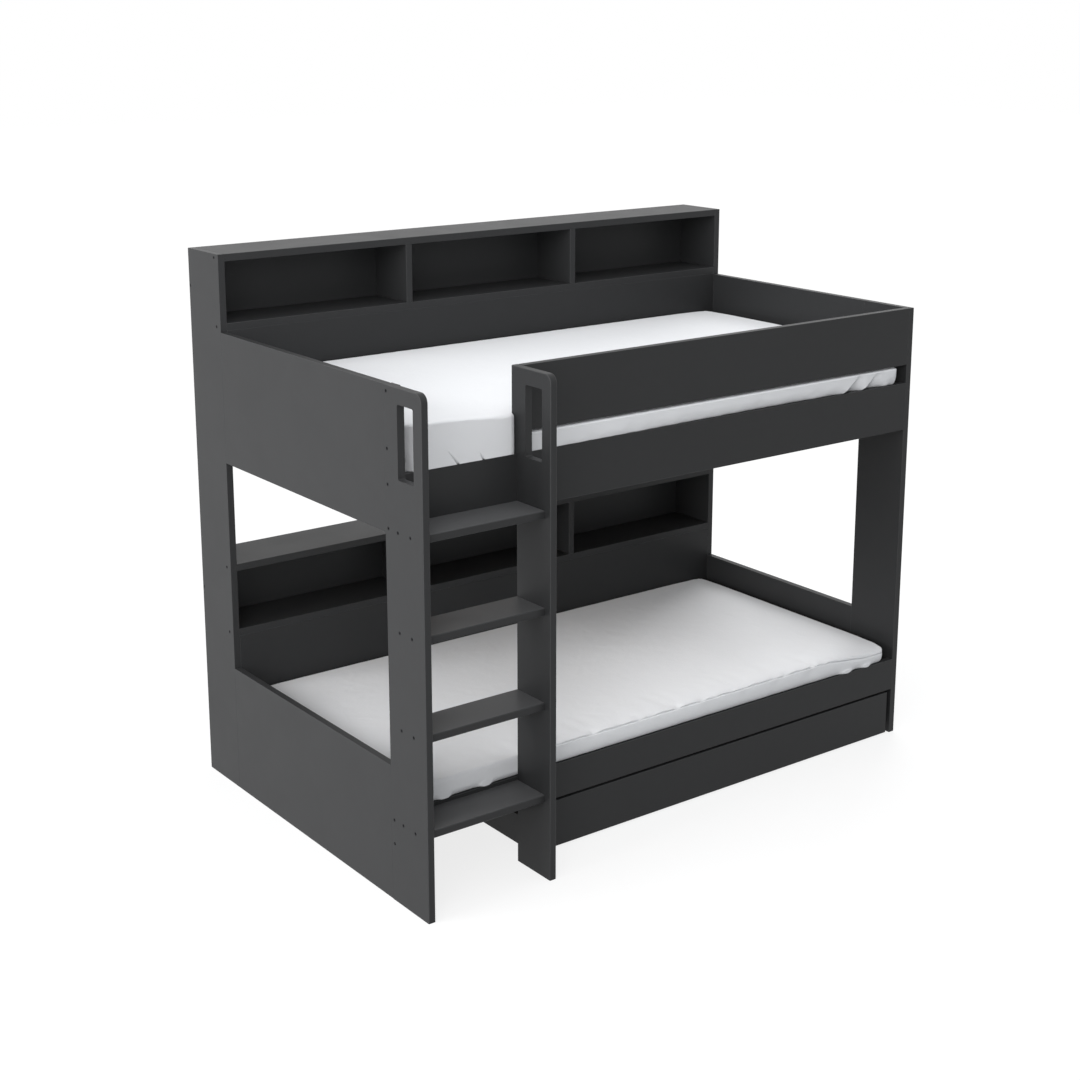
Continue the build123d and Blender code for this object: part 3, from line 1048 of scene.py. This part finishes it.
    def puffed(self, piece: bpy.types.Object) -> None:
        """Runs the cloth simulation on a piece and keeps its last shape.

        Args:
            piece: the piece, whose mesh is replaced.
        """
        rest = [vert.co.copy() for vert in piece.data.vertices]
        group = piece.vertex_groups.new(name="held")
        for number, place in enumerate(rest):
            group.add([number], self.holds(place), "REPLACE")
        cloth = piece.modifiers.new("sheet", "CLOTH")
        for key, value in CLOTH.items():
            setattr(cloth.settings, key, value)
        cloth.settings.effector_weights.gravity = 0
        cloth.collision_settings.use_collision = False
        cloth.point_cache.frame_start = 1
        cloth.point_cache.frame_end = self.frames
        scene = bpy.context.scene
        for number in range(1, self.frames + 1):
            scene.frame_set(number)
        graph = bpy.context.evaluated_depsgraph_get()
        moved = piece.evaluated_get(graph).to_mesh()
        new = [vert.co.copy() for vert in moved.vertices]
        piece.evaluated_get(graph).to_mesh_clear()
        piece.modifiers.clear()
        piece.vertex_groups.clear()
        scene.frame_set(1)
        for vert, old, place in zip(piece.data.vertices, rest, new):
            move = place - old
            if move.length > self.swell:
                move *= self.swell / move.length
            vert.co = old + move

    def past_ladder(self, x: float) -> float:
        """Runs from 0 beside the ladder to 1 clear of it."""
        return smooth_step(*self.ladder, x)

    def free(self, x: float, z: float) -> float:
        """How freely the front wall can hang over the rail at a place, from 0 to 1.

        Args:
            x: the place along the bed.
            z: its height.

        Returns:
            The share of the overhang that has room.
        """
        share = ramp(self.rail_top, self.over_rail, z) * ramp(self.low.x, self.past_end, x)
        if self.post_sides:
            left, right = self.post_sides
            past = ramp(right, self.past_post, x)
            share *= 1 - ramp(left, self.before_post, x) * (1 - past)
            if x > left:
                share *= 1 - ramp(self.guard_foot, self.under_guard, z)
        return share

    def tucked(self, x: float, z: float) -> float:
        """How much of the overhang is drawn back towards the wall's foot at a place.

        Args:
            x: the place along the bed.
            z: its height.

        Returns:
            The share that is drawn back.
        """
        left = 1 - clamped((z - self.rail_top) / self.tuck_height)
        rounding = 0.5 * (1 - math.sqrt(1 - left * left)) + 0.5 * left * left
        return self.tuck * smooth_step(self.tuck_start, self.tuck_end, x) * rounding

    def wall_shift(self, place: Vector, normal: Vector) -> Vector:
        """The overhang, folds, puckers, ruffles and welt line of the sheet's walls.

        Args:
            place: a point of the sheet.
            normal: the sheet's outward direction there.

        Returns:
            How far the point moves.
        """
        upright = math.hypot(normal.x, normal.y)
        height = place.z - self.low.z
        tall = self.high.z - self.crown - self.low.z
        flat = Vector((normal.x, normal.y, 0))
        x = self.half.x - abs(place.x - self.middle.x)
        y = self.half.y - abs(place.y - self.middle.y)
        corner = hump(math.hypot(max(0.0, x), max(0.0, y)), self.pucker_reach)
        run = (place.x + place.y * self.pucker_slope) / self.pucker_pitch * math.tau
        lean = height / tall * self.pucker_lean
        ripple = math.sin(run + lean + self.stir * noise.noise(place * self.stir_scale))
        low = (1 - smooth_step(*self.pucker_span, height / tall)) * upright
        move = flat * (ripple * self.pucker * corner * low)
        drift = noise.noise(Vector(at * scale for at, scale in zip(place, self.drift_scale)))
        move += flat * (drift * self.drift * upright)
        front = 1 - ramp(self.low.y, self.hang_reach, place.y)
        if self.welt:
            move.z -= self.rolled(place)
        if front > 0:
            back = self.front_shift(place) * max(0.0, -normal.y)
            if self.welt:
                gap = place.z - self.welt.height(place.x)
                fade = self.past_ladder(place.x) * front
                move -= normal * (self.welt.depth * fade * hump(gap, self.welt.width))
            hung = self.free(place.x, place.z) * (1 - self.tucked(place.x, place.z))
            back -= self.hang * hung * front
            move += Vector((0, back, 0))
        return move

    def front_shift(self, place: Vector) -> float:
        """How far the folds and ruffles take the front wall back at a point.

        Args:
            place: a point of the front wall.

        Returns:
            The move along +Y.
        """
        shift = sum(fold.shift(place.x, place.z) for fold in self.folds)
        rise = place.z - self.rail_top
        for ruffle in self.ruffles:
            lump = hump(place.x - ruffle.at, ruffle.width)
            shift -= ruffle.reach * lump * hump(rise - ruffle.height, ruffle.tall)
        return shift

    def rolled(self, place: Vector) -> float:
        """How far the top's front edge rolls down to the welt line at a place.

        Args:
            place: a point of the sheet.

        Returns:
            The fall in metres.
        """
        past, run = self.past_ladder(place.x), self.welt.run(place.x)
        wider = (self.welt.far_roll - self.welt.roll) * (run - 0.2 * (1 - past))
        depth = self.welt.roll + wider
        inward = clamped((place.y - self.low.y) / depth)
        top = self.high.z - self.crown + self.risen(place.x)
        fall = top - self.welt.height(place.x) - 0.9 * self.welt.width
        fall += self.welt.dip * past * (1 - run)
        return fall * (1 - inward) ** 2 * ramp(top, self.roll_reach, place.z)

    def near_detail(self, place: Vector, fine: bool) -> bool:
        """Whether a point lies near a fold, a ruffle or the welt line.

        Args:
            place: a point of the sheet.
            fine: whether only the finest detail counts.

        Returns:
            True near such detail.
        """
        if self.welt and not fine and place.y < self.low.y + self.welt.far_roll:
            if place.z > self.welt.level - self.welt.sunk - self.below_welt:
                return True
        if place.y > self.low.y + self.detail_reach:
            return False
        margin = self.margins[fine]
        if any(fold.near(place.x, place.z, margin) for fold in self.folds):
            return True
        if fine:
            return False
        for ruffle in self.ruffles:
            if abs(place.x - ruffle.at) < 2 * ruffle.width:
                if abs(place.z - self.rail_top - ruffle.height) < 2 * ruffle.tall:
                    return True
        return False

    def kept_in(self, place: Vector) -> Vector:
        """Moves a point back into the room between the boards.

        Args:
            place: a point of the sheet.

        Returns:
            The point in its room.
        """
        front = self.low.y - self.spare
        proud = self.proud * smooth_step(*self.proud_reach, place.x)
        front += (self.rail_face + self.rail_gap - proud - front) * self.free(place.x, place.z)
        low = self.low.x - self.spare, front, self.low.z
        high = self.high.x + self.end_gap, self.high.y + self.spare, self.high.z + self.swollen
        return Vector(min(top, max(foot, at)) for foot, top, at in zip(low, high, place))

    def creased(self, piece: bpy.types.Object) -> None:
        """Gives a piece its overhang and its folds.

        Args:
            piece: the piece.
        """
        mesh = bmesh.new()
        mesh.from_mesh(piece.data)
        levels = [self.rail_top + rise * MM for rise in self.rail_cuts]
        if self.guard:
            levels += [self.guard_foot - drop * MM for drop in self.guard_cuts]
        self.cut(mesh, Side.Z, levels)
        for fine in (False, False, True):
            near = {vert for vert in mesh.verts if self.near_detail(vert.co, fine)}
            edges = [edge for edge in mesh.edges if all(vert in near for vert in edge.verts)]
            if edges:
                bmesh.ops.subdivide_edges(mesh, edges=edges, cuts=1, use_grid_fill=True)
        mesh.normal_update()
        moves = [self.wall_shift(vert.co, vert.normal) for vert in mesh.verts]
        for vert, move in zip(mesh.verts, moves):
            vert.co = self.kept_in(vert.co + move)
        mesh.normal_update()
        mesh.to_mesh(piece.data)
        mesh.free()

    def build(self) -> None:
        """Makes the sheeted mattress and puts it in place of the CAD solid."""
        piece = to_piece(self.block(), f"{self.node}_sheeted", self.finishes.sheet)
        for vert in piece.data.vertices:
            vert.co.z += self.crowned(vert.co)
        self.puffed(piece)
        finer = piece.modifiers.new("finer", "SUBSURF")
        finer.levels = finer.render_levels = 1
        applied(piece)
        self.creased(piece)
        piece.data.materials.clear()
        piece.data.materials.append(self.finishes.sheet)
        piece.data.shade_smooth()
        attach(piece, self.body)
        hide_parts(self.node)
        log.info("made %s with %d faces", piece.name, len(piece.data.polygons))


@dataclass(frozen=True)
class Lamp:
    """A large soft square lamp, which gloss doesn't show."""

    name: str
    place: tuple[float, float, float]
    power: float
    side: float = 3.6

    def hang(self, target: Vector) -> None:
        """Adds the lamp to the scene.

        Args:
            target: what it looks at.
        """
        data = bpy.data.lights.new(self.name, "AREA")
        data.shape = "SQUARE"
        data.size = self.side
        data.energy = self.power
        lamp = bpy.data.objects.new(self.name, data)
        lamp.location = self.place
        lamp.visible_glossy = False
        look = target - Vector(self.place)
        lamp.rotation_euler = look.to_track_quat("-Z", "Y").to_euler()
        bpy.context.scene.collection.objects.link(lamp)


@dataclass
class Studio:
    """The white floor and sky, the soft lamps and the camera."""

    floor_side: float = 60.0
    floor_drop: float = 0.4 * MM
    sky: float = 0.42
    sky_tint: tuple[float, ...] = (0.93, 0.965, 1.0, 1)
    ground: float = 0.86
    bounce: float = 0.35
    glow: float = 1.03
    whiteness: float = 0.78
    near: float = 1.6
    far: float = 4.5
    lit_height: float = 0.7
    lamps: tuple[Lamp, ...] = (
        Lamp("left_lamp", (-6.0, 0.4, 2.2), 405),
        Lamp("upper_left_lamp", (-3.6, -3.4, 4.6), 105),
        Lamp("left_front_lamp", (-4.4, -4.6, 2.6), 105),
        Lamp("right_rear_lamp", (4.6, 3.6, 2.9), 318),
        Lamp("top_lamp", (0.2, -0.4, 5.6), 98, 4.0),
    )
    lens: float = 59.7
    yaw: float = 36.89
    pitch: float = 13.48
    shift: float = -0.10
    place: tuple[float, float, float] = (-3.363, -4.291, 2.396)

    @staticmethod
    def seen(graph: Graph, path: bpy.types.Node) -> Signal:
        """One where a ray comes from the camera, from gloss or through glass.

        Args:
            graph: the graph that asks.
            path: its Light Path node.

        Returns:
            The mask.
        """
        total = Signal(graph, path.outputs["Is Camera Ray"])
        for name in ("Is Glossy Ray", "Is Transmission Ray"):
            total = graph.maths("MAXIMUM", total, Signal(graph, path.outputs[name]))
        return total

    def background(self) -> None:
        """Lights everything softly and shows white to the camera and in gloss."""
        graph = Graph("studio", world=True)
        bpy.context.scene.world = graph.owner
        mask = self.seen(graph, graph.node("ShaderNodeLightPath"))
        soft = graph.node("ShaderNodeBackground", None, {0: self.sky_tint, 1: self.sky})
        white = graph.node("ShaderNodeBackground", None, {0: (1, 1, 1, 1), 1: 1.0})
        sockets = {0: mask, 1: soft.outputs[0], 2: white.outputs[0]}
        mix = graph.node("ShaderNodeMixShader", None, sockets)
        graph.node("ShaderNodeOutputWorld", None, {0: mix.outputs[0]})

    def floor(self) -> None:
        """A white floor that keeps a soft shadow and throws back less light than it shows."""
        mesh = bmesh.new()
        bmesh.ops.create_grid(mesh, x_segments=4, y_segments=4, size=self.floor_side / 2)
        bmesh.ops.translate(mesh, verts=mesh.verts, vec=(0, 0, -self.floor_drop))
        graph = Graph("studio_floor")
        path = graph.node("ShaderNodeLightPath")
        camera = Signal(graph, path.outputs["Is Camera Ray"])
        pale = graph.blend(camera, (self.bounce,) * 3, (self.ground,) * 3)
        matte = graph.node("ShaderNodeBsdfDiffuse", None, {0: pale})
        white = graph.node("ShaderNodeEmission", None, {0: (1, 1, 1, 1), 1: self.glow})
        x, y, _ = graph.parts(graph.coordinates())
        away = ((x * x + y * y) ** 0.5).step(self.near, self.far)
        share = self.whiteness + away * (1 - self.whiteness)
        sockets = {0: self.seen(graph, path) * share, 1: matte.outputs[0], 2: white.outputs[0]}
        mix = graph.node("ShaderNodeMixShader", None, sockets)
        graph.node("ShaderNodeOutputMaterial", None, {"Surface": mix.outputs[0]})
        to_piece(mesh, "studio_floor", graph.owner)

    def camera(self) -> None:
        """The camera at the photograph's viewing angle."""
        data = bpy.data.cameras.new("camera")
        data.sensor_width = 36.0
        data.lens = self.lens
        data.shift_y = self.shift
        data.clip_end = 200.0
        camera = bpy.data.objects.new("camera", data)
        camera.location = self.place
        camera.rotation_euler = (math.radians(90 - self.pitch), 0, -math.radians(self.yaw))
        bpy.context.scene.collection.objects.link(camera)
        bpy.context.scene.camera = camera

    def build(self) -> None:
        """Sets the stage."""
        self.background()
        self.floor()
        for lamp in self.lamps:
            lamp.hang(Vector((0, 0, self.lit_height)))
        self.camera()
        bpy.context.scene.view_settings.view_transform = "Standard"


# Where the cloth is gathered, as seen in the photograph

UPPER_FOLDS = (
    Fold((-0.777, 1.204), (-0.818, 1.257), 16 * MM, 1.5 * MM, 7 * MM, power=4),
    Fold((-0.694, 1.203), (-0.706, 1.226), 18 * MM, 2 * MM, 7 * MM, 6 * MM, fade=0.4, power=4),
    Fold((-0.680, 1.204), (-0.745, 1.326), -4.5 * MM, 4.5 * MM, 13 * MM, 11 * MM, fade=0.3),
    Fold((0.679, 1.200), (0.756, 1.262), 36 * MM, 7 * MM, 60 * MM, 30 * MM, fade=1.0, power=2),
    Fold((0.770, 1.204), (0.832, 1.258), 32 * MM, 8 * MM, 50 * MM, 24 * MM, fade=1.0, power=2),
)
UPPER_RUFFLES = (
    Ruffle(0.560, 4 * MM, 4 * MM, 26 * MM),
    Ruffle(0.880, 4 * MM, 5 * MM, 16 * MM),
)
LOWER_RUFFLES = (
    Ruffle(-0.832, 3 * MM, 14 * MM, 20 * MM, 9 * MM),
    Ruffle(-0.693, 3 * MM, 14 * MM, 20 * MM, 9 * MM),
    Ruffle(0.750, 3 * MM, 13 * MM, 26 * MM, 9 * MM),
    Ruffle(0.842, 3 * MM, 13 * MM, 20 * MM, 9 * MM),
)


def corners(box: tuple[Vector, Vector]) -> list[list[float]]:
    """A box as plain lists of numbers."""
    return [list(corner) for corner in box]


def main() -> None:
    """Builds the pieces in order."""
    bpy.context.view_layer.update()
    finishes = Finishes()
    Boards(finishes).dress_all()
    Screws(finishes).build()
    Mattress(
        "upper_mattress",
        finishes,
        "upper_front_rail",
        hang=26 * MM,
        corner=20 * MM,
        edge=10 * MM,
        tuck=0.55,
        tuck_start=-0.70,
        tuck_end=0.45,
        tuck_height=36 * MM,
        guard="guard_rail",
        post="ladder_post_right",
        folds=UPPER_FOLDS,
        ruffles=UPPER_RUFFLES,
        lift=8 * MM,
    ).build()
    Mattress(
        "lower_mattress",
        finishes,
        "lower_front_rail",
        hang=23 * MM,
        corner=22 * MM,
        edge=5 * MM,
        tuck=0.56,
        tuck_start=-2.0,
        tuck_end=-1.5,
        ruffles=LOWER_RUFFLES,
        welt=Welt(0.3221, 18.1 * MM, 0.62, 0.87),
        rise=8 * MM,
        crown=1 * MM,
    ).build()
    Studio().build()


if __name__ == "__main__":
    main()
